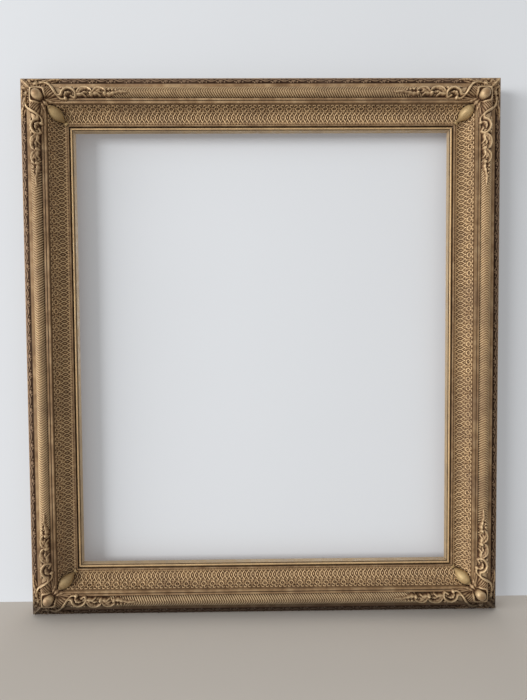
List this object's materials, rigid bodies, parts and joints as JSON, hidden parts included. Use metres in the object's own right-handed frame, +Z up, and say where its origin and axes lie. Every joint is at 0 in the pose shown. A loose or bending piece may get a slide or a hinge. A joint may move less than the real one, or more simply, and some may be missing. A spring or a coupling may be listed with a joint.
{
  "type": "picture frame",
  "caption": "Gilded wooden picture frame with cast scrolled corners, a half-round torus, a deep scoop and an inner slip, hung by strap hangers.",
  "frame": {"origin": "middle of the box's underside, on the surface that the bottom rail stands on", "axes": "+Z up the frame, -Y towards the viewer, +X to the viewer's right"},
  "size_m": [0.64, 0.0614, 0.724],
  "materials": {
    "rail_wood": "softwood, gilded on its show faces and bare at the back",
    "gilt_composition": "cast composition, gilded, worn and toned",
    "slip_gilt": "softwood with burnished gilding",
    "nail_iron": "dull iron",
    "hanger_brass": "tarnished"
  },
  "bodies": {
    "frame": {"rail_top": "rail_wood", "rail_bottom": "rail_wood", "rail_left": "rail_wood", "rail_right": "rail_wood", "edge_strip_top": "gilt_composition", "edge_strip_bottom": "gilt_composition", "edge_strip_left": "gilt_composition", "edge_strip_right": "gilt_composition", "torus_strip_top": "gilt_composition", "torus_strip_bottom": "gilt_composition", "torus_strip_left": "gilt_composition", "torus_strip_right": "gilt_composition", "scoop_strip_top": "gilt_composition", "scoop_strip_bottom": "gilt_composition", "scoop_strip_left": "gilt_composition", "scoop_strip_right": "gilt_composition", "slip_top": "slip_gilt", "slip_bottom": "slip_gilt", "slip_left": "slip_gilt", "slip_right": "slip_gilt", "corner_ornament_top_left": "gilt_composition", "corner_ornament_top_right": "gilt_composition", "corner_ornament_bottom_left": "gilt_composition", "corner_ornament_bottom_right": "gilt_composition", "scoop_bud_top_left": "gilt_composition", "scoop_bud_top_right": "gilt_composition", "scoop_bud_bottom_left": "gilt_composition", "scoop_bud_bottom_right": "gilt_composition", "mitre_nail_top_left": "nail_iron", "mitre_nail_top_right": "nail_iron", "mitre_nail_bottom_left": "nail_iron", "mitre_nail_bottom_right": "nail_iron", "mitre_nail_left_top": "nail_iron", "mitre_nail_left_bottom": "nail_iron", "mitre_nail_right_top": "nail_iron", "mitre_nail_right_bottom": "nail_iron", "slip_pin_top_left": "nail_iron", "slip_pin_top_right": "nail_iron", "slip_pin_bottom_left": "nail_iron", "slip_pin_bottom_right": "nail_iron", "slip_pin_left_top": "nail_iron", "slip_pin_left_bottom": "nail_iron", "slip_pin_right_top": "nail_iron", "slip_pin_right_bottom": "nail_iron", "hanger_strap_left": "hanger_brass", "hanger_strap_right": "hanger_brass", "hanger_screw_left_outer": "hanger_brass", "hanger_screw_left_inner": "hanger_brass", "hanger_screw_right_outer": "hanger_brass", "hanger_screw_right_inner": "hanger_brass"},
    "ring_left": {"hanger_ring_left": "hanger_brass"},
    "ring_right": {"hanger_ring_right": "hanger_brass"}
  },
  "joints": [
    {"name": "ring_left_swing", "type": "hinge", "parent": "frame", "child": "ring_left", "pos_m": [-0.284, 0.02829, 0.484], "axis": [0, 0, 1], "range_deg": [0, 165]},
    {"name": "ring_right_swing", "type": "hinge", "parent": "frame", "child": "ring_right", "pos_m": [0.284, 0.02829, 0.484], "axis": [0, 0, -1], "range_deg": [0, 165]}
  ]
}
